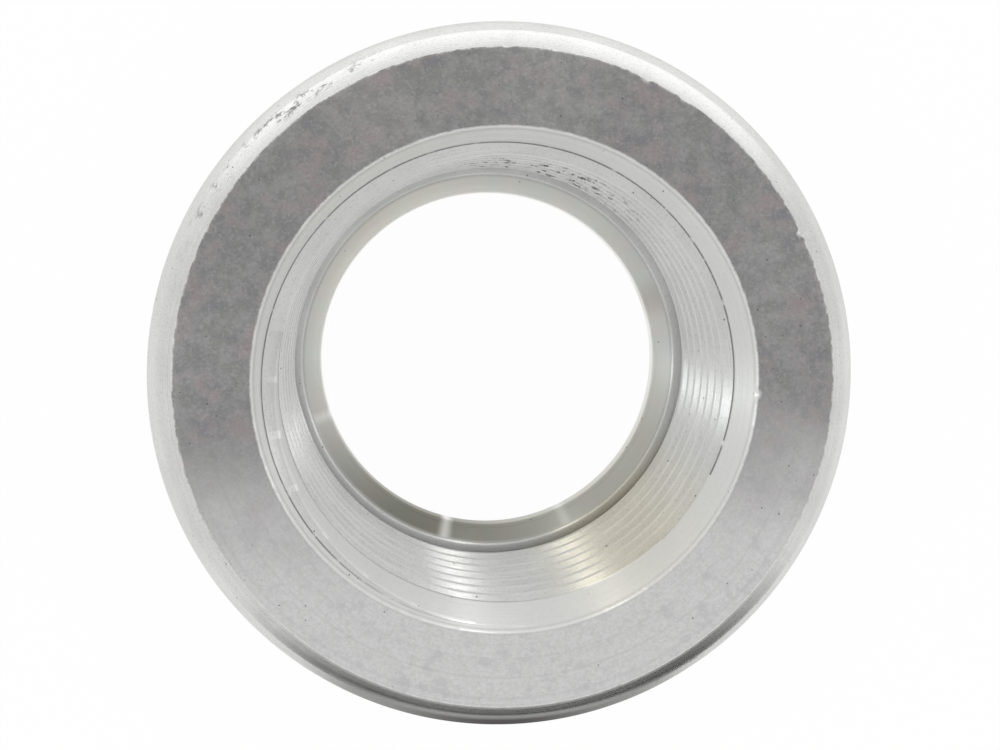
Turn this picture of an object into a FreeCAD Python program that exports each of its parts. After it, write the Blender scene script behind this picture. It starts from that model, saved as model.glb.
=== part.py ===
import FreeCAD, Part
import math
import os
from FreeCAD import Vector

# Conduit reducing bushing, 1-1/2 inch outside to 1 inch inside, turned from one piece.
# It stands on its small end: z = 0 is the small end face, the bore runs along +Z and the
# wide threaded mouth is at the top. Sizes are in millimetres and angles in degrees.

# Driving sizes
overall_length = 21.5
outer_pipe_diameter = 48.26
pipe_step_down = 14.859
inner_hand_tight_length = 10.16
inner_turns_large = 3.0
threads_per_inch = 11.5
taper_on_diameter = 1 / 16
flank_angle = 30.0
outer_crest_flat_per_pitch = 0.076
inner_crest_flat_per_pitch = 0.28
mouth_chamfer = 2.0
rim_bevel = 0.85
rim_angle = 30.0
plain_rim = 0.6
runout_angle = 30.0
small_end_chamfer = 1.9
countersink = 1.73
socket_depth = 18.5
relief_width = 1.4
relief_undercut = 0.1
shoulder_width = 0.35
lip_bevel = 1.42
throat_edge_bevel = 0.3
outer_groove_angle = -45.0
inner_groove_angle = -24.6

# The pipe thread's form, from its pitch
millimetres_per_inch = 25.4
pitch = millimetres_per_inch / threads_per_inch
taper = taper_on_diameter / 2
flank_slope = math.tan(math.radians(flank_angle))
outer_half_groove = pitch * (1 - outer_crest_flat_per_pitch) / 2
outer_thread_height = outer_half_groove / flank_slope
inner_half_groove = pitch * (1 - inner_crest_flat_per_pitch) / 2
inner_thread_height = inner_half_groove / flank_slope
spans_per_turn = 16
spare = 1.0


def small_end_pitch_diameter(pipe_diameter):
    """Pitch diameter of a tapered pipe thread at its small end, by the pipe thread standard's formula."""
    share_of_diameter = 0.05
    added_inches = 1.1
    return pipe_diameter - (share_of_diameter * pipe_diameter / millimetres_per_inch + added_inches) * pitch


# Radii of the outer thread's crest at the small end and at the mouth
outer_crest_low = (small_end_pitch_diameter(outer_pipe_diameter) + outer_thread_height) / 2
outer_crest_high = outer_crest_low + taper * overall_length

# The mouth chamfer ends in a steeper bevel at the rim, with a plain land below it; the outer
# thread fades out under that land. Both angles are measured from the bore's axis.
rim_slope = math.tan(math.radians(rim_angle))
runout_slope = math.tan(math.radians(runout_angle))
rim_radius = outer_crest_high - rim_bevel
rim_height = overall_length - (mouth_chamfer - rim_bevel)
land_bottom = rim_height - rim_bevel / rim_slope - plain_rim

# Radii of the inner thread at the mouth and at the shoulder that ends the socket. It is cut some
# turns deeper than a gauge's own length, and its crests are flatter than the outer thread's.
inner_pipe_diameter = outer_pipe_diameter - pipe_step_down
inner_depth_of_gauge = inner_hand_tight_length + inner_turns_large * pitch
inner_pitch_diameter = small_end_pitch_diameter(inner_pipe_diameter) + taper_on_diameter * inner_depth_of_gauge
inner_root_high = (inner_pitch_diameter + outer_thread_height) / 2
inner_crest_high = inner_root_high - inner_thread_height
inner_crest_low = inner_crest_high - taper * socket_depth

# Heights and radii inside the bore
shoulder_height = overall_length - socket_depth
relief_top = shoulder_height + relief_width
relief_radius = inner_crest_low + taper * relief_width + inner_thread_height + relief_undercut
throat_radius = inner_crest_low - shoulder_width - lip_bevel


def at(radius, height):
    """A point in the plane that is turned about the bore's axis."""
    return Vector(radius, 0, height)


def turned(outline):
    """The solid made by turning an outline, closed from its last corner to its first, about the axis."""
    return Part.Face(Part.makePolygon(outline + outline[:1])).revolve(Vector(0, 0, 0), Vector(0, 0, 1), 360)


def helix_turn(radius, height, angle):
    """One turn of a right-hand helix on the thread's taper; radius is the taper's radius at z = 0."""
    points = []
    for step in range(spans_per_turn + 1):
        turn = step / spans_per_turn
        z = height + pitch * turn
        a = math.radians(angle) + 2 * math.pi * turn
        r = radius + taper * z
        points.append(Vector(r * math.cos(a), r * math.sin(a), z))
    curve = Part.BSplineCurve()
    curve.interpolate(Points=points, Parameters=[float(i) for i in range(len(points))])
    return curve


def axis_turn(height):
    """The stretch of the axis that one turn of the thread climbs."""
    curve = Part.BSplineCurve()
    points = [Vector(0, 0, height + pitch * i / spans_per_turn) for i in range(spans_per_turn + 1)]
    curve.interpolate(Points=points, Parameters=[float(i) for i in range(len(points))])
    return curve


def ruled_strip(low, high):
    """The ruled face between two curves that have the same knots."""
    surface = Part.BSplineSurface()
    poles = [[a, b] for a, b in zip(low.getPoles(), high.getPoles())]
    surface.buildFromPolesMultsKnots(
        poles, low.getMultiplicities(), [2, 2], low.getKnots(), [0.0, 1.0], False, False, low.Degree, 1
    )
    return surface.toShape()


def flat_step(points):
    """The flat face in the half-plane where a screw begins or ends, out from the axis."""
    corners = [Vector(0, 0, points[0].z)] + points + [Vector(0, 0, points[-1].z)]
    return Part.Face(Part.makePolygon(corners + corners[:1]))


def screw(section, height, turns, angle):
    """A solid tapered screw. The section is one pitch of its outline, as (radius at z = 0, rise)."""
    faces = []
    rows = []
    for turn in range(turns):
        start = height + turn * pitch
        row = [helix_turn(radius, start + rise, angle) for radius, rise in section]
        faces += [ruled_strip(low, high) for low, high in zip(row, row[1:])]
        rows.append(row)
    faces.append(ruled_strip(axis_turn(height + section[0][1]), rows[0][0]))
    faces.append(flat_step([curve.StartPoint for curve in rows[0]]))
    faces.append(ruled_strip(axis_turn(height + (turns - 1) * pitch + section[-1][1]), rows[-1][-1]))
    faces.append(flat_step([curve.EndPoint for curve in rows[-1]]))
    shell = Part.makeShell(faces)
    shell.sewShape()
    solid = Part.makeSolid(shell)
    if solid.Volume < 0:
        solid.reverse()
    return solid


def runout():
    """The cone and land under the rim, which fill the outer thread's last grooves until they fade out."""
    crest = outer_crest_low + taper * land_bottom
    inner = crest - outer_thread_height - spare
    land = outer_crest_high
    return turned([
        at(0, land_bottom - (crest - inner) / runout_slope),
        at(inner, land_bottom - (crest - inner) / runout_slope),
        at(land, land_bottom + (land - crest) / runout_slope),
        at(land, overall_length + spare),
        at(0, overall_length + spare),
    ])


def outer_screw():
    """The outer thread as a screw that runs past both ends of the part and fades out under the rim."""
    crest = outer_crest_low
    root = crest - outer_thread_height
    edge = outer_half_groove
    section = [(root, 0), (crest, edge), (crest, pitch - edge), (root, pitch)]
    turns_below_mouth = math.ceil(overall_length / pitch) + 2
    height = overall_length - turns_below_mouth * pitch
    threads = screw(section, height, turns_below_mouth + 2, outer_groove_angle)
    return threads.fuse(runout())


def inner_screw():
    """The space inside the inner thread, from the middle of the relief to past the mouth."""
    crest = inner_crest_high - taper * overall_length
    root = crest + inner_thread_height
    edge = inner_half_groove
    section = [(crest, edge), (crest, pitch - edge), (root, pitch), (crest, pitch + edge)]
    turns_below_mouth = math.ceil(socket_depth / pitch) + 1
    height = overall_length - turns_below_mouth * pitch
    space = screw(section, height, turns_below_mouth + 2, inner_groove_angle)
    bottom = shoulder_height + relief_width / 2
    reach = relief_radius + spare
    kept = Part.makeCylinder(reach, overall_length + spare - bottom, Vector(0, 0, bottom))
    return space.common(kept)


def blank():
    """The turned ring before threading: chamfers, rim, countersink, relief, shoulder, lip and throat."""
    small_face = outer_crest_low - small_end_chamfer
    mouth_face = outer_crest_high - mouth_chamfer
    outside = outer_crest_high + spare
    sink = inner_crest_high + countersink
    bored = inner_crest_low - shoulder_width / 2
    return turned([
        at(throat_radius + throat_edge_bevel, 0),
        at(small_face, 0),
        at(outside, outside - small_face),
        at(outside, rim_height - (outside - rim_radius) / rim_slope),
        at(rim_radius, rim_height),
        at(mouth_face, overall_length),
        at(sink, overall_length),
        at(bored, overall_length - (sink - bored)),
        at(bored, relief_top),
        at(relief_radius, relief_top),
        at(relief_radius, shoulder_height),
        at(throat_radius + lip_bevel, shoulder_height),
        at(throat_radius, shoulder_height - lip_bevel),
        at(throat_radius, throat_edge_bevel),
    ])


def reducing_bushing():
    """The finished bushing: the blank inside the outer screw, less the inner thread's space."""
    solid = blank().common(outer_screw()).cut(inner_screw())
    return solid.Solids[0]


os.makedirs("parts", exist_ok=True)
bushing = reducing_bushing()
bushing.exportStep("parts/reducing_bushing.step")
print("throat diameter", round(2 * throat_radius, 2), "mm, volume", round(bushing.Volume), "cubic mm")
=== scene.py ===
import bpy
import math
import random
from mathutils import Matrix, Vector


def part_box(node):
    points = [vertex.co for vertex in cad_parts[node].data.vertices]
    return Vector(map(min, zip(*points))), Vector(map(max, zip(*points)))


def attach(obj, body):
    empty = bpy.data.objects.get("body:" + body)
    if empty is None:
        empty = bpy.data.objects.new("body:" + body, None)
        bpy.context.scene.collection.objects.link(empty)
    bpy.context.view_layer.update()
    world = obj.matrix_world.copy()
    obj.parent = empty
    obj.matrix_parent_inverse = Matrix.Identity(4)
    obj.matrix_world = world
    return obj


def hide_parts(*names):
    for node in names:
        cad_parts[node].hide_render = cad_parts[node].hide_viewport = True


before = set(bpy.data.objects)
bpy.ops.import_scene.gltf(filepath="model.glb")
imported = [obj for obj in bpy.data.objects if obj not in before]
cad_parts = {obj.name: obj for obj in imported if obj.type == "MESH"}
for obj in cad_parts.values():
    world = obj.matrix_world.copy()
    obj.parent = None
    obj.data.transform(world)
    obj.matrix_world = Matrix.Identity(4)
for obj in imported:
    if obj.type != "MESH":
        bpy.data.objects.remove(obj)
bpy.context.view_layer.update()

# A machined conduit reducing bushing, standing on its small end with its wide threaded mouth up.
# The CAD frame gives its place and height. This file turns the same ring with finer edges, feed
# marks and nicks, threads it outside and inside, and gives it a turned aluminium finish.

MM = 0.001
SMALL_END, MOUTH = (corner[2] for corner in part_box("reducing_bushing"))

# Both tapered pipe threads: 11.5 threads per inch, 60 degree form, 1 in 16 taper on the diameter
PITCH = 25.4 * MM / 11.5
TAPER = 1 / 32
FLANK = math.tan(math.radians(30))
OUTER_CREST_FLAT = 0.076 * PITCH
INNER_CREST_FLAT = 0.28 * PITCH
OUTER_THREAD_HEIGHT = (PITCH - OUTER_CREST_FLAT) / 2 / FLANK
INNER_THREAD_HEIGHT = (PITCH - INNER_CREST_FLAT) / 2 / FLANK
OUTER_CREST = 24.356 * MM
INNER_CREST = 15.444 * MM

# The turned ring, radii first and then depths below the mouth
FACE_OUTER = 22.362 * MM
FACE_INNER = 17.174 * MM
RIM = 23.516 * MM
RIM_DEPTH = 1.15 * MM
RIM_SLOPE = math.tan(math.radians(30))
LAND = 24.358 * MM
LAND_DEPTH = 3.22 * MM
RUNOUT_SLOPE = math.tan(math.radians(30))
SMALL_FACE = 21.790 * MM
THROAT = 13.096 * MM
LIP = 1.42 * MM
THROAT_EDGE = 0.3 * MM
RELIEF = 16.387 * MM
BORED = 14.691 * MM
SOCKET_DEPTH = 18.5 * MM
RELIEF_WIDTH = 1.4 * MM
SHOULDER = MOUTH - SOCKET_DEPTH

# Finish of the surfaces: small roundings, feed marks on the countersink, and segments round the axis
EDGE_ROUND = 0.05 * MM
EDGE_MARGIN = 0.45 * MM
RIM_ROUND = 0.28 * MM
LIP_ROUND = 0.14 * MM
ROUND_STEPS = 4
FEED = 0.27 * MM
FEED_DEPTH = 0.028 * MM
SMOOTH_UNDER = math.radians(28)
MERGE = 0.001 * MM
SPARE = 1.0 * MM
SCREW_SPARE = 1.5 * MM
STEPS = 540
STEP = math.tau / STEPS

# Where each thread starts, to the nearest whole step, so that the threads' faces line up with the ring's
OUTER_START = round(math.radians(-45.0) / STEP) * STEP
INNER_START = round(math.radians(-24.6) / STEP) * STEP


def apply_modifiers(piece):
    """Applies each modifier of a piece in turn."""
    bpy.ops.object.select_all(action="DESELECT")
    piece.select_set(True)
    bpy.context.view_layer.objects.active = piece
    for modifier in list(piece.modifiers):
        bpy.ops.object.modifier_apply(modifier=modifier.name)


def wire(name, points, closed):
    """A line of edges through the points, given as radius and height, in the half-plane y = 0."""
    bpy.ops.object.select_all(action="DESELECT")
    bpy.ops.mesh.primitive_circle_add(vertices=len(points), fill_type="NOTHING")
    piece = bpy.context.object
    piece.name = name
    for vertex, (radius, height) in zip(piece.data.vertices, points):
        vertex.co = (radius, 0, height)
    if not closed:
        for vertex in piece.data.vertices:
            vertex.select = False
        for edge in piece.data.edges:
            edge.select = set(edge.vertices) == {0, len(points) - 1}
        bpy.ops.object.mode_set(mode="EDIT")
        bpy.ops.mesh.select_mode(type="EDGE")
        bpy.ops.mesh.delete(type="EDGE_FACE")
        bpy.ops.object.mode_set(mode="OBJECT")
    return piece


def sweep(piece, steps, turns=1, climb=0.0):
    """Sweeps a line round the axis, climbing by the same amount at each turn."""
    screw = piece.modifiers.new("Sweep", "SCREW")
    screw.axis = "Z"
    screw.angle = math.tau
    screw.screw_offset = climb
    screw.iterations = turns
    screw.steps = steps
    screw.render_steps = steps
    screw.use_merge_vertices = True
    screw.merge_threshold = MERGE
    apply_modifiers(piece)


def face_outwards(piece):
    """Merges doubles and turns all faces of a closed piece outwards."""
    bpy.ops.object.mode_set(mode="EDIT")
    bpy.ops.mesh.select_all(action="SELECT")
    bpy.ops.mesh.remove_doubles(threshold=MERGE)
    bpy.ops.mesh.normals_make_consistent(inside=False)
    bpy.ops.object.mode_set(mode="OBJECT")


def rounded(corner, before, after, reach=EDGE_ROUND, steps=2):
    """Points that round a corner of an outline, from a small reach before it to the same reach after it."""
    corner, before, after = Vector(corner), Vector(before), Vector(after)
    start = corner + (before - corner).normalized() * reach
    end = corner + (after - corner).normalized() * reach
    points = []
    for step in range(steps + 1):
        share = step / steps
        points.append(tuple(start * (1 - share) ** 2 + corner * 2 * share * (1 - share) + end * share ** 2))
    return points


def countersink_with_feed_marks(top, bottom):
    """Points down the countersink, with a shallow groove at each feed of the tool."""
    top, bottom = Vector(top), Vector(bottom)
    along = (bottom - top).normalized()
    into = Vector((-along.y, along.x))
    count = int((bottom - top).length / FEED)
    points = []
    for mark in range(1, count):
        points.append(tuple(top + along * FEED * mark))
        points.append(tuple(top + along * FEED * (mark + 0.5) + into * FEED_DEPTH))
    return points


def ring_outline():
    """The section of the ring before threading, from the throat's lower edge round to its upper one."""
    sink_bottom = (BORED, MOUTH - (FACE_INNER - BORED))
    face_outer = (FACE_OUTER, MOUTH)
    face_inner = (FACE_INNER, MOUTH)
    rim = (RIM, MOUTH - RIM_DEPTH)
    rim_low = (LAND, MOUTH - RIM_DEPTH - (LAND - RIM) / RIM_SLOPE)
    lip_top = (THROAT + LIP, SHOULDER)
    lip_bottom = (THROAT, SHOULDER - LIP)
    socket_floor = (RELIEF, SHOULDER)
    throat_low = (THROAT, SMALL_END + THROAT_EDGE)
    small_rim = (LAND, SMALL_END + LAND - SMALL_FACE)
    points = [(THROAT + THROAT_EDGE, SMALL_END), (SMALL_FACE, SMALL_END), small_rim]
    points += rounded(rim_low, small_rim, rim, RIM_ROUND, ROUND_STEPS)
    points += rounded(rim, rim_low, face_outer, RIM_ROUND, ROUND_STEPS)
    points += rounded(face_outer, rim, face_inner)
    points += [(FACE_OUTER - EDGE_MARGIN, MOUTH), (FACE_INNER + EDGE_MARGIN, MOUTH)]
    points += rounded(face_inner, face_outer, sink_bottom)
    points += countersink_with_feed_marks(face_inner, sink_bottom)
    relief_top = SHOULDER + RELIEF_WIDTH
    points += [sink_bottom, (BORED, relief_top), (RELIEF, relief_top), socket_floor]
    points += rounded(lip_top, socket_floor, lip_bottom, LIP_ROUND, ROUND_STEPS)
    points += rounded(lip_bottom, lip_top, throat_low, LIP_ROUND, ROUND_STEPS)
    points += [throat_low]
    return points


def screw_solid(name, section, start_angle, turns_below, turns, low, high):
    """A closed tapered screw between two heights. The section is one pitch: radius at the mouth, and rise."""
    base = MOUTH - turns_below * PITCH
    piece = wire(name, [(radius, base + rise) for radius, rise in section], closed=False)
    sweep(piece, STEPS, turns, PITCH)
    piece.data.transform(Matrix.Rotation(start_angle, 4, "Z"))
    for vertex in piece.data.vertices:
        radius = math.hypot(vertex.co.x, vertex.co.y)
        tapered = (radius + TAPER * (vertex.co.z - MOUTH)) / radius
        vertex.co.x *= tapered
        vertex.co.y *= tapered
    bpy.ops.object.mode_set(mode="EDIT")
    for height, up in ((low, -1), (high, 1)):
        bpy.ops.mesh.select_all(action="SELECT")
        bpy.ops.mesh.remove_doubles(threshold=MERGE)
        bpy.ops.mesh.bisect(plane_co=(0, 0, height), plane_no=(0, 0, up), clear_outer=True, use_fill=True)
    bpy.ops.object.mode_set(mode="OBJECT")
    face_outwards(piece)
    return piece


def runout():
    """A cone under the rim that fills the outer thread's last grooves until they fade out."""
    core = THROAT - SPARE
    crest = OUTER_CREST - TAPER * LAND_DEPTH
    inner = crest - OUTER_THREAD_HEIGHT - SPARE
    outer = LAND + SPARE
    land_bottom = MOUTH - LAND_DEPTH
    bottom = land_bottom - (crest - inner) / RUNOUT_SLOPE
    cone_top = land_bottom + (outer - crest) / RUNOUT_SLOPE
    top = MOUTH + SPARE
    outline = [(core, bottom), (inner, bottom), (outer, cone_top), (outer, top), (core, top)]
    piece = wire("runout", outline, closed=True)
    sweep(piece, STEPS)
    face_outwards(piece)
    return piece


def outer_screw():
    """The outer thread as a long screw that the ring is cut down to."""
    root = OUTER_CREST - OUTER_THREAD_HEIGHT
    edge = OUTER_THREAD_HEIGHT * FLANK
    section = [(root, 0), (OUTER_CREST, edge), (OUTER_CREST, PITCH - edge), (root, PITCH)]
    turns_below = math.ceil((MOUTH - SMALL_END) / PITCH) + 2
    ends = (SMALL_END - SCREW_SPARE, MOUTH + SCREW_SPARE)
    threads = screw_solid("outer_screw", section, OUTER_START, turns_below, turns_below + 3, *ends)
    cut_with(threads, runout(), "UNION")
    return threads


def inner_screw():
    """The space inside the inner thread, from the relief up past the mouth."""
    root = INNER_CREST + INNER_THREAD_HEIGHT
    edge = INNER_THREAD_HEIGHT * FLANK
    section = [(root, 0), (INNER_CREST, edge), (INNER_CREST, PITCH - edge), (root, PITCH)]
    turns_below = math.ceil(SOCKET_DEPTH / PITCH) + 1
    ends = (SHOULDER + RELIEF_WIDTH / 2, MOUTH + SCREW_SPARE)
    return screw_solid("inner_screw", section, INNER_START, turns_below, turns_below + 3, *ends)


def cut_with(piece, tool, operation):
    """Combines a piece with a tool by a Boolean and takes the tool away."""
    boolean = piece.modifiers.new("Cut", "BOOLEAN")
    boolean.operation = operation
    boolean.solver = "EXACT"
    boolean.object = tool
    apply_modifiers(piece)
    bpy.data.objects.remove(tool)


# How many small nicks each edge of the mouth face has, and the widths and depths of these, in millimetres
SMALL_NICKS = ((FACE_OUTER, 46), (FACE_INNER, 30))
NICK_WIDTHS = (0.12, 0.35)
NICK_DEPTHS = (0.005, 0.03)
NICK_DROP = 0.6

# Each large nick: its edge, its angle in degrees, and its width and depth in millimetres
LARGE_NICKS = (
    (FACE_OUTER, 27, 0.4, 0.08),
    (FACE_INNER, -3, 0.4, 0.07),
    (FACE_OUTER, 66, 0.5, 0.06),
    (FACE_OUTER, 58, 0.5, 0.05),
)


def nick_edges(piece):
    """Presses small nicks into both edges of the mouth face."""
    draw = random.Random(41)
    nicks = []
    for edge, count in SMALL_NICKS:
        for _ in range(count):
            angle = draw.uniform(-math.pi, math.pi)
            width = draw.uniform(*NICK_WIDTHS) * MM
            depth = draw.uniform(*NICK_DEPTHS) * MM
            nicks.append((edge, angle, width, depth))
    for edge, degrees, width, depth in LARGE_NICKS:
        nicks.append((edge, math.radians(degrees), width * MM, depth * MM))
    for vertex in piece.data.vertices:
        if vertex.co.z < MOUTH - 2 * EDGE_ROUND:
            continue
        radius = math.hypot(vertex.co.x, vertex.co.y)
        angle = math.atan2(vertex.co.y, vertex.co.x)
        for edge, centre, width, depth in nicks:
            if abs(radius - edge) > 1.5 * EDGE_ROUND:
                continue
            along = abs((angle - centre + math.pi) % math.tau - math.pi) * edge / width
            if along < 1:
                press = depth * (1 - along * along)
                inwards = -1 if edge == FACE_OUTER else 1
                vertex.co.z -= press * NICK_DROP
                vertex.co.x *= 1 + inwards * press / radius
                vertex.co.y *= 1 + inwards * press / radius


def bushing():
    """The finished bushing: ring, nicks, then the outer and inner threads."""
    piece = wire("threaded_bushing", ring_outline(), closed=True)
    sweep(piece, STEPS)
    face_outwards(piece)
    nick_edges(piece)
    cut_with(piece, outer_screw(), "INTERSECT")
    cut_with(piece, inner_screw(), "DIFFERENCE")
    bpy.ops.object.select_all(action="DESELECT")
    piece.select_set(True)
    bpy.context.view_layer.objects.active = piece
    bpy.ops.object.shade_smooth_by_angle(angle=SMOOTH_UNDER)
    return piece


piece = bushing()
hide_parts("reducing_bushing")
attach(piece, "root")


class Graph:
    """Short ways to add nodes to a tree. An input is a value, another node's socket, or None."""

    def __init__(self, tree):
        self.tree = tree

    def add(self, kind, *inputs, **settings):
        """A node of a kind, with its inputs in their order and its settings by name."""
        node = self.tree.nodes.new(kind)
        for name, value in settings.items():
            setattr(node, name, value)
        for socket, value in zip(node.inputs, inputs):
            self.feed(socket, value)
        return node

    def feed(self, socket, value):
        """Links a socket to another one, or sets it to a value."""
        if isinstance(value, bpy.types.NodeSocket):
            self.tree.links.new(value, socket)
        elif value is not None:
            socket.default_value = value

    def math(self, operation, *inputs):
        return self.add("ShaderNodeMath", *inputs, operation=operation).outputs[0]

    def vector(self, operation, *inputs):
        return self.add("ShaderNodeVectorMath", *inputs, operation=operation)

    def rise(self, value, low, high):
        """0 below low, 1 above high, and a smooth step between; falls where low is above high."""
        node = self.add("ShaderNodeMapRange", value, low, high, interpolation_type="SMOOTHSTEP")
        return node.outputs[0]

    def hump(self, value, centre, reach):
        """1 at the centre, falling smoothly to 0 at the reach on both sides."""
        away = self.math("ABSOLUTE", self.math("SUBTRACT", value, centre))
        return self.rise(away, reach, 0.0)

    def times(self, *factors):
        """The product of two or more inputs."""
        product = factors[0]
        for factor in factors[1:]:
            product = self.math("MULTIPLY", product, factor)
        return product

    def noise(self, place, scale, detail=2.0, roughness=0.5):
        node = self.add("ShaderNodeTexNoise", place)
        node.inputs["Scale"].default_value = scale
        node.inputs["Detail"].default_value = detail
        node.inputs["Roughness"].default_value = roughness
        return node.outputs["Fac"]

    def blend(self, share, first, second, blend_type="MIX"):
        node = self.add("ShaderNodeMix", data_type="RGBA", blend_type=blend_type)
        self.feed(node.inputs[0], share)
        self.feed(node.inputs[6], first)
        self.feed(node.inputs[7], second)
        return node.outputs[2]


def grey(value, red=0.0, green=0.0, blue=0.0):
    """A near-neutral colour."""
    return (value + red, value + green, value + blue, 1.0)


def layered(graph, colour, layers):
    """Lays tints over a colour. A layer: a noise, where it starts and is full, its strength and its tint."""
    for noise, start, full, strength, tint in layers:
        share = graph.math("MULTIPLY", graph.rise(noise, start, full), strength)
        colour = graph.blend(share, colour, tint)
    return colour


class Surface:
    """Where a point of the bushing lies, in millimetres and radians, and the noises of its finish."""

    def __init__(self, graph):
        self.graph = graph
        place = graph.vector("SCALE", graph.add("ShaderNodeTexCoord").outputs["Object"])
        place.inputs["Scale"].default_value = 1 / MM
        self.place = place.outputs[0]
        self.x, self.y, height = graph.add("ShaderNodeSeparateXYZ", self.place).outputs
        flat = graph.vector("MULTIPLY", self.place, (1, 1, 0)).outputs[0]
        self.radius = graph.vector("LENGTH", flat).outputs["Value"]
        self.angle = graph.math("ARCTAN2", self.y, self.x)
        self.depth = graph.math("SUBTRACT", MOUTH / MM, height)
        cone_depth = graph.math("SUBTRACT", FACE_INNER / MM, self.radius)
        self.under_cone = graph.math("SUBTRACT", self.depth, cone_depth)

        self.on_face = graph.rise(self.depth, 0.05, 0.01)
        self.inside = graph.rise(self.radius, 17.3, 17.1)
        self.in_throat = graph.times(self.inside, graph.rise(self.depth, 18.5, 18.8))
        chamfer_top = FACE_OUTER / MM
        self.on_chamfer = graph.times(
            graph.rise(self.radius, chamfer_top, chamfer_top + 0.3),
            graph.rise(self.depth, 3.6, 3.0),
        )

        section = graph.add("ShaderNodeCombineXYZ", self.radius, 0.0, height).outputs[0]
        self.cloud = graph.noise(self.place, 0.22, 3.0)
        self.mottle = graph.noise(self.place, 0.9, 5.0, 0.65)
        self.blush = graph.noise(self.place, 0.45, 3.0, 0.6)
        self.grain = graph.noise(self.place, 5.0, 3.0, 0.7)
        self.marks = graph.noise(section, 7.0, 3.0, 0.65)
        self.broad_marks = graph.noise(section, 1.6, 2.0)

    def sector(self, centre, reach):
        """1 at an angle round the axis, falling to 0 at the reach on both sides; both in degrees."""
        return self.graph.hump(self.angle, math.radians(centre), math.radians(reach))

    def unrolled(self, stretch, depth):
        """A place for noises that run along the ring, from the angle, the radius and a depth."""
        along = self.graph.math("MULTIPLY", self.angle, stretch)
        return self.graph.add("ShaderNodeCombineXYZ", along, self.radius, depth).outputs[0]


def bare_metal(graph, at):
    """Near-neutral metal, streaked by the tool, with a fine grain."""
    return layered(graph, grey(0.70, 0.004, 0.010, -0.010), (
        (at.cloud, 0.35, 0.65, 1.0, grey(0.64, 0.004, 0.010, -0.006)),
        (at.marks, 0.54, 0.70, 1.0, grey(0.76, 0.0, 0.006, -0.004)),
        (at.marks, 0.44, 0.32, 1.0, grey(0.57, 0.004, 0.008, 0.0)),
        (at.grain, 0.50, 0.34, 0.30, grey(0.42, 0.01, 0.01, 0.0)),
    ))


def light_lower_face(graph, at):
    """The mouth face on its lower side, where it is lighter."""
    return layered(graph, grey(0.66, 0.006, 0.004, 0.0), (
        (at.grain, 0.32, 0.66, 1.0, grey(0.77)),
        (at.marks, 0.50, 0.38, 0.35, grey(0.58, 0.006, 0.004, 0.0)),
        (at.mottle, 0.50, 0.32, 0.5, grey(0.56, 0.01, 0.0, 0.004)),
    ))


def dark_upper_face(graph, at):
    """The mouth face on all but its lower side, darker: grey with pink, olive and blue patches, and a fine
    grain.
    """
    pink = (0.375, 0.305, 0.315, 1)
    olive = (0.29, 0.305, 0.265, 1)
    blue = (0.255, 0.255, 0.30, 1)
    return layered(graph, grey(0.275, 0.004, 0.0, 0.0), (
        (at.mottle, 0.34, 0.66, 1.0, grey(0.35, 0.004, 0.002, 0.0)),
        (at.blush, 0.50, 0.66, 0.55, pink),
        (at.blush, 0.46, 0.32, 0.55, olive),
        (at.mottle, 0.44, 0.30, 0.45, blue),
        (at.grain, 0.52, 0.68, 0.55, grey(0.44, 0.008, 0.0, 0.004)),
        (at.grain, 0.46, 0.30, 0.45, grey(0.20)),
    ))


def dark_upper_face_mask(graph, at):
    """1 on the darker part of the mouth face, which is all but its lower side, with a ragged border."""
    cloud_reach = 7.0
    mottle_reach = 4.0
    grain_reach = 2.5
    lean = -0.06
    border_start, border_end = -7.5, 6.5
    wander = graph.math("MULTIPLY", at.mottle, mottle_reach)
    wander = graph.math("MULTIPLY_ADD", at.cloud, cloud_reach, wander)
    wander = graph.math("MULTIPLY_ADD", at.grain, grain_reach, wander)
    border = graph.math("MULTIPLY_ADD", at.x, lean, graph.math("ADD", at.y, wander))
    return graph.times(at.on_face, graph.rise(border, border_start, border_end))


def bore_tints_and_painted_shade(graph, at, colour):
    """Tints the bore warm at the lower right, and paints shade on the throat's right and lower sides."""
    warm_centre, warm_reach, warm_strength = -50, 36, 0.8
    warm = graph.math("MULTIPLY", graph.times(at.inside, at.sector(warm_centre, warm_reach)), warm_strength)
    colour = graph.blend(warm, colour, (1.0, 0.93, 0.77, 1), "MULTIPLY")
    colour = graph.blend(at.in_throat, colour, grey(0.93, 0.0, 0.004, -0.006))

    # Painted shade: the throat darkened on its right and lower sides, with narrow streaks left clear where
    # the lamps' reflections run
    painted_shade_right = graph.times(at.in_throat, at.sector(-40, 50))
    colour = graph.blend(painted_shade_right, colour, (0.80, 0.80, 0.76, 1), "MULTIPLY")
    painted_shade_low = graph.times(at.in_throat, at.sector(-112, 78))
    streak_angles = (-64, -104, -161)
    streak_reach = 3.0
    for streak in streak_angles:
        clear = at.sector(streak, streak_reach)
        painted_shade_low = graph.times(painted_shade_low, graph.math("SUBTRACT", 1.0, clear))
    colour = graph.blend(painted_shade_low, colour, (0.38, 0.38, 0.34, 1), "MULTIPLY")

    tinges_round = 5.0
    along = graph.math("MULTIPLY", at.angle, tinges_round)
    drift = graph.noise(graph.add("ShaderNodeCombineXYZ", along).outputs[0], 1.0, 2.0)
    tinge = graph.blend(graph.rise(drift, 0.40, 0.60), (0.96, 0.975, 0.945, 1), (0.99, 0.96, 0.935, 1))
    colour = graph.blend(at.in_throat, colour, tinge, "MULTIPLY")
    brown_strength = 0.5
    brown = graph.math("MULTIPLY", graph.times(at.in_throat, at.sector(21, 9)), brown_strength)
    return graph.blend(brown, colour, (0.72, 0.68, 0.66, 1), "MULTIPLY")


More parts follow.
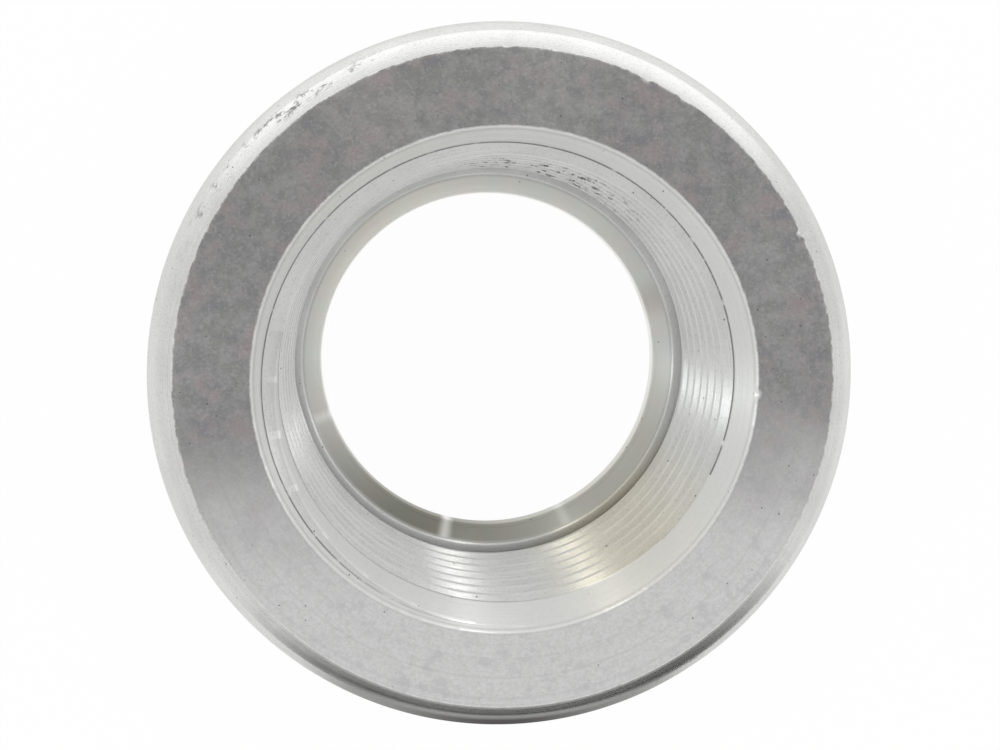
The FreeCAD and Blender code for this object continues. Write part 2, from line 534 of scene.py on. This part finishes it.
def countersink_tint(graph, at, colour):
    """Brightens the countersink above the thread."""
    strength = 0.6
    bottom = graph.rise(at.depth, 1.8, 1.7)
    on_countersink = graph.times(at.inside, graph.rise(at.under_cone, 0.10, 0.06), bottom)
    share = graph.math("MULTIPLY", on_countersink, strength)
    return graph.blend(share, colour, grey(0.90, 0.0, 0.006, -0.012))


def speck_mask(graph, at):
    """Small dark specks all over, in a few of the cells of a pattern."""
    cells = graph.add("ShaderNodeTexVoronoi", at.place, feature="F1")
    cells.inputs["Scale"].default_value = 1.7
    draw = graph.add("ShaderNodeSeparateColor", cells.outputs["Color"]).outputs[0]
    return graph.times(graph.rise(draw, 0.88, 0.90), graph.rise(cells.outputs["Distance"], 0.13, 0.06))


def pit_mask(graph, at):
    """Pits in rows along the thread at the upper right."""
    crowd = graph.times(at.inside, at.sector(72, 40))
    crowd = graph.times(crowd, graph.rise(at.depth, 4.0, 8.0), graph.rise(at.depth, 18.4, 17.0))
    rows = graph.noise(at.unrolled(8.0, at.depth), 2.6, 5.0, 0.8)
    return graph.times(crowd, graph.rise(rows, 0.535, 0.61))


def seam_shadow_and_dirt_mask(graph, at):
    """A painted shadow, with some dirt, along the edge where the thread's first groove cuts the countersink.
    """
    root = (INNER_CREST + INNER_THREAD_HEIGHT) / MM
    steepness = 1 / FLANK
    phase = graph.math("MULTIPLY_ADD", at.angle, 1 / math.tau, 1 - INNER_START / math.tau)
    turn = graph.math("FRACT", phase)
    groove_depth = graph.math("MULTIPLY_ADD", turn, -PITCH / MM, PITCH / MM)
    seam_depth = graph.math("MULTIPLY_ADD", groove_depth, steepness, FACE_INNER / MM - root)
    seam_radius = graph.math("MULTIPLY_ADD", seam_depth, -1 / (1 + steepness), FACE_INNER / MM)
    seam = graph.hump(graph.math("SUBTRACT", at.radius, seam_radius), 0.03, 0.10)
    seam = graph.times(seam, graph.rise(at.under_cone, 0.08, 0.04), graph.rise(turn, 0.80, 0.66))
    broken = graph.noise(at.unrolled(22.0, at.depth), 0.8, 3.0, 0.7)
    return graph.times(seam, graph.rise(broken, 0.28, 0.46))


def chamfer_stain_mask(graph, at):
    """Stains on the chamfer, mostly at the upper left."""
    upper_left = at.sector(134, 36)
    lower_right = graph.times(at.sector(-48, 22), graph.rise(at.radius, 23.2, 23.6))
    smears = graph.noise(at.unrolled(11.0, 0.0), 1.5, 6.0, 0.8)
    smeared = graph.times(graph.rise(smears, 0.52, 0.62), graph.hump(at.radius, 23.25, 0.75))
    return graph.times(at.on_chamfer, graph.math("MAXIMUM", upper_left, lower_right), smeared)


def rim_shade_mask(graph, at):
    """Painted shade: the lower side of the rim darkened, standing in for the dark room it would reflect."""
    return graph.times(at.on_chamfer, at.sector(-90, 38), graph.rise(at.radius, 23.0, 23.8))


def dirt_and_painted_shade_masks(graph, at, rim_shade):
    """The strongest of the dirt and painted shade masks, each with its own strength."""
    dirt_and_shade = graph.math("MULTIPLY", speck_mask(graph, at), 0.8)
    for mask, strength in (
        (pit_mask(graph, at), 0.85),
        (seam_shadow_and_dirt_mask(graph, at), 0.8),
        (chamfer_stain_mask(graph, at), 0.85),
        (rim_shade, 0.92),
    ):
        dirt_and_shade = graph.math("MAXIMUM", dirt_and_shade, graph.math("MULTIPLY", mask, strength))
    return dirt_and_shade


def rubbed_and_highlit_edge_mask(graph, at):
    """Both edges of the mouth face, brightened in places: rubbed wear with a painted edge highlight."""
    strength = 0.7
    outer_edge = graph.hump(at.radius, FACE_OUTER / MM, 0.13)
    inner_edge = graph.hump(at.radius, FACE_INNER / MM, 0.11)
    edge_glint = graph.times(graph.math("MAXIMUM", outer_edge, inner_edge), graph.rise(at.depth, 0.15, 0.03))
    patches = graph.noise(at.place, 1.4, 3.0, 0.7)
    edge_glint = graph.times(edge_glint, graph.rise(patches, 0.38, 0.60))
    return graph.math("MULTIPLY", edge_glint, strength)


def turned_aluminium():
    """Turned aluminium: fine marks, a mouth face darker on all but its lower side, dirt and a painted shadow
    in the threads, painted shade in the throat and on the rim's lower side, specks, and bright edges of
    painted highlight with wear.
    """
    material = bpy.data.materials.new("turned_aluminium")
    material.use_nodes = True
    graph = Graph(material.node_tree)
    shader = material.node_tree.nodes["Principled BSDF"]
    at = Surface(graph)
    dark_upper_share = dark_upper_face_mask(graph, at)
    # Painted shade on the rim's lower side
    rim_shade = rim_shade_mask(graph, at)
    # Specks, pits and stains, with the painted shadow at the seam and the painted shade on the rim's lower
    # side
    dirt_and_shade = dirt_and_painted_shade_masks(graph, at, rim_shade)

    colour = graph.blend(at.on_face, bare_metal(graph, at), light_lower_face(graph, at))
    # The mouth face darker on all but its lower side, with pink, olive and blue patches
    colour = graph.blend(dark_upper_share, colour, dark_upper_face(graph, at))
    colour = bore_tints_and_painted_shade(graph, at, colour)
    colour = countersink_tint(graph, at, colour)
    # Darkens by the dirt and by the painted shadow and shade
    colour = graph.blend(dirt_and_shade, colour, grey(0.045, 0.006, 0.0, 0.0))
    # Painted highlight with rubbed wear: bright patches along both edges of the mouth face
    colour = graph.blend(rubbed_and_highlit_edge_mask(graph, at), colour, grey(0.84))
    graph.feed(shader.inputs["Base Color"], colour)

    # Roughness follows the tool's marks, and each mask adds its own share to it
    smoothest, roughest = 0.26, 0.36
    rough = graph.add("ShaderNodeMapRange", at.marks, 0.3, 0.7, smoothest, roughest).outputs[0]
    for mask, added in ((dark_upper_share, 0.10), (at.on_chamfer, -0.11), (rim_shade, 0.45), (dirt_and_shade, 0.3)):
        rough = graph.math("MULTIPLY_ADD", mask, added, rough)
    graph.feed(shader.inputs["Roughness"], rough)
    metal_lost_to_dirt_and_shade = 0.8
    graph.feed(shader.inputs["Metallic"], graph.math("MULTIPLY_ADD", dirt_and_shade, -metal_lost_to_dirt_and_shade, 1.0))

    # Relief is the tool's fine marks, with each of these added by its own share
    relief = at.marks
    for height, share in ((at.broad_marks, 1.2), (at.grain, 0.25), (dirt_and_shade, -1.5)):
        relief = graph.math("MULTIPLY_ADD", height, share, relief)
    bump = graph.add("ShaderNodeBump")
    bump.inputs["Strength"].default_value = 0.35
    bump.inputs["Distance"].default_value = 0.02 * MM
    graph.feed(bump.inputs["Height"], relief)
    graph.feed(shader.inputs["Normal"], bump.outputs[0])

    # The turning marks stretch each reflection across them
    shader.inputs["Anisotropic"].default_value = 0.85
    shader.inputs["Anisotropic Rotation"].default_value = 0.25
    tangent = graph.add("ShaderNodeTangent", direction_type="RADIAL", axis="Z")
    graph.feed(shader.inputs["Tangent"], tangent.outputs[0])
    return material


piece.data.materials.clear()
piece.data.materials.append(turned_aluminium())


def seen_or_mirrored(graph):
    """1 for what the camera sees directly or in a reflection."""
    path = graph.add("ShaderNodeLightPath")
    seen = graph.math("MAXIMUM", path.outputs["Is Camera Ray"], path.outputs["Is Glossy Ray"])
    return graph.math("MAXIMUM", seen, path.outputs["Is Transmission Ray"])


FLOOR_RADIUS = 58 * MM
FLOOR_CORNERS = 96
FLOOR_GLOW_SHARE = 0.97


def white_floor():
    """A round white floor that keeps a faint shadow."""
    bpy.ops.object.select_all(action="DESELECT")
    bpy.ops.mesh.primitive_circle_add(vertices=FLOOR_CORNERS, radius=FLOOR_RADIUS, fill_type="NGON")
    floor = bpy.context.object
    floor.name = "floor"
    material = bpy.data.materials.new("white_paper")
    material.use_nodes = True
    graph = Graph(material.node_tree)
    material.node_tree.nodes.clear()
    paper = graph.add("ShaderNodeBsdfDiffuse", (0.9, 0.9, 0.9, 1)).outputs[0]
    glow = graph.add("ShaderNodeEmission", (1, 1, 1, 1), 1.0).outputs[0]
    share = graph.math("MULTIPLY", seen_or_mirrored(graph), FLOOR_GLOW_SHARE)
    mixed = graph.add("ShaderNodeMixShader", share, paper, glow).outputs[0]
    graph.add("ShaderNodeOutputMaterial", mixed)
    floor.data.materials.append(material)


def studio_world():
    """A soft room: pale all round, dimmer overhead, bright low behind the object and dark low in front."""
    scene = bpy.context.scene
    world = bpy.data.worlds.new("studio")
    scene.world = world
    world.use_nodes = True
    world.node_tree.nodes.clear()
    graph = Graph(world.node_tree)
    direction = graph.add("ShaderNodeTexCoord").outputs["Generated"]
    x, y, z = graph.add("ShaderNodeSeparateXYZ", direction).outputs
    upper = graph.blend(graph.rise(z, 0.80, 0.99), grey(0.88), grey(0.74))
    lower = graph.blend(graph.rise(y, 0.30, 0.85), grey(0.95), grey(1.62))
    room = graph.blend(graph.rise(z, -0.05, 0.12), lower, upper)
    level = graph.math("SQRT", graph.math("SUBTRACT", 1.0, graph.math("MULTIPLY", z, z)))
    towards_front = graph.math("MULTIPLY_ADD", x, 0.12, graph.math("MULTIPLY", y, -0.99))
    towards_front = graph.math("DIVIDE", towards_front, level)
    dark_front = graph.times(graph.rise(towards_front, 0.60, 0.93), graph.rise(z, 0.03, -0.10))
    room = graph.blend(dark_front, room, grey(0.0))
    path = graph.add("ShaderNodeLightPath")
    colour = graph.blend(path.outputs["Is Camera Ray"], room, grey(1.0))
    background = graph.add("ShaderNodeBackground", colour, 1.0).outputs[0]
    graph.add("ShaderNodeOutputWorld", background)


LAMP_DISTANCE = 0.45
LAMP_ELEVATION = math.radians(43)

# Each lamp: name, azimuth in degrees, width and height in metres, brightness and colour
LAMPS = (
    ("lamp_back_right", 75, 0.03, 0.22, 3.4, (1.0, 1.0, 0.96)),
    ("lamp_back_left", 114, 0.03, 0.20, 2.6, (1.0, 0.95, 0.82)),
    ("lamp_left", 183, 0.04, 0.20, 2.4, (0.94, 0.97, 1.0)),
    ("lamp_right", 12, 0.04, 0.18, 1.6, (1.0, 1.0, 1.0)),
)


def strip_lamp(name, azimuth, width, height, brightness, colour):
    """A soft rectangular lamp that faces the bushing from a direction, with a set brightness."""
    lamp = bpy.data.lights.new(name, "AREA")
    lamp.shape = "RECTANGLE"
    lamp.size = width
    lamp.size_y = height
    lamp.energy = brightness * math.pi * width * height
    lamp.color = colour
    holder = bpy.data.objects.new(name, lamp)
    bpy.context.scene.collection.objects.link(holder)
    flat = math.cos(LAMP_ELEVATION)
    towards = Vector((
        flat * math.cos(math.radians(azimuth)),
        flat * math.sin(math.radians(azimuth)),
        math.sin(LAMP_ELEVATION),
    ))
    holder.location = towards * LAMP_DISTANCE + Vector((0, 0, MOUTH))
    holder.rotation_euler = towards.to_track_quat("Z", "Y").to_euler()


white_floor()
studio_world()
for lamp in LAMPS:
    strip_lamp(*lamp)

# The camera looks down into the mouth as in the photo. The lens and distance come from fitting the
# circles of the face, the crest and the throat.
PICTURE_WIDTH = 1000
SENSOR_WIDTH = 36
PIXELS_PER_METRE = 14837.0
DISTANCE = 114.89 * MM
LOOKING = Vector((0.0731, -0.0879, -1)).normalized()
MOUTH_RIGHT_OF_AXIS = 0.469 * MM
MOUTH_BELOW_AXIS = 0.5145 * MM


def photo_camera():
    """The camera at the photo's viewing angle."""
    lens = bpy.data.cameras.new("camera")
    lens.sensor_width = SENSOR_WIDTH
    lens.lens = PIXELS_PER_METRE * DISTANCE / PICTURE_WIDTH * lens.sensor_width
    camera = bpy.data.objects.new("camera", lens)
    bpy.context.scene.collection.objects.link(camera)
    right = (Vector((1, 0, 0)) - LOOKING * LOOKING.x).normalized()
    up = right.cross(LOOKING)
    aim = Vector((0, 0, MOUTH)) - right * MOUTH_RIGHT_OF_AXIS + up * MOUTH_BELOW_AXIS
    place = aim - LOOKING * DISTANCE
    camera.matrix_world = Matrix.Translation(place) @ Matrix((right, up, -LOOKING)).transposed().to_4x4()
    bpy.context.scene.camera = camera


photo_camera()
bpy.context.scene.view_settings.view_transform = "Standard"
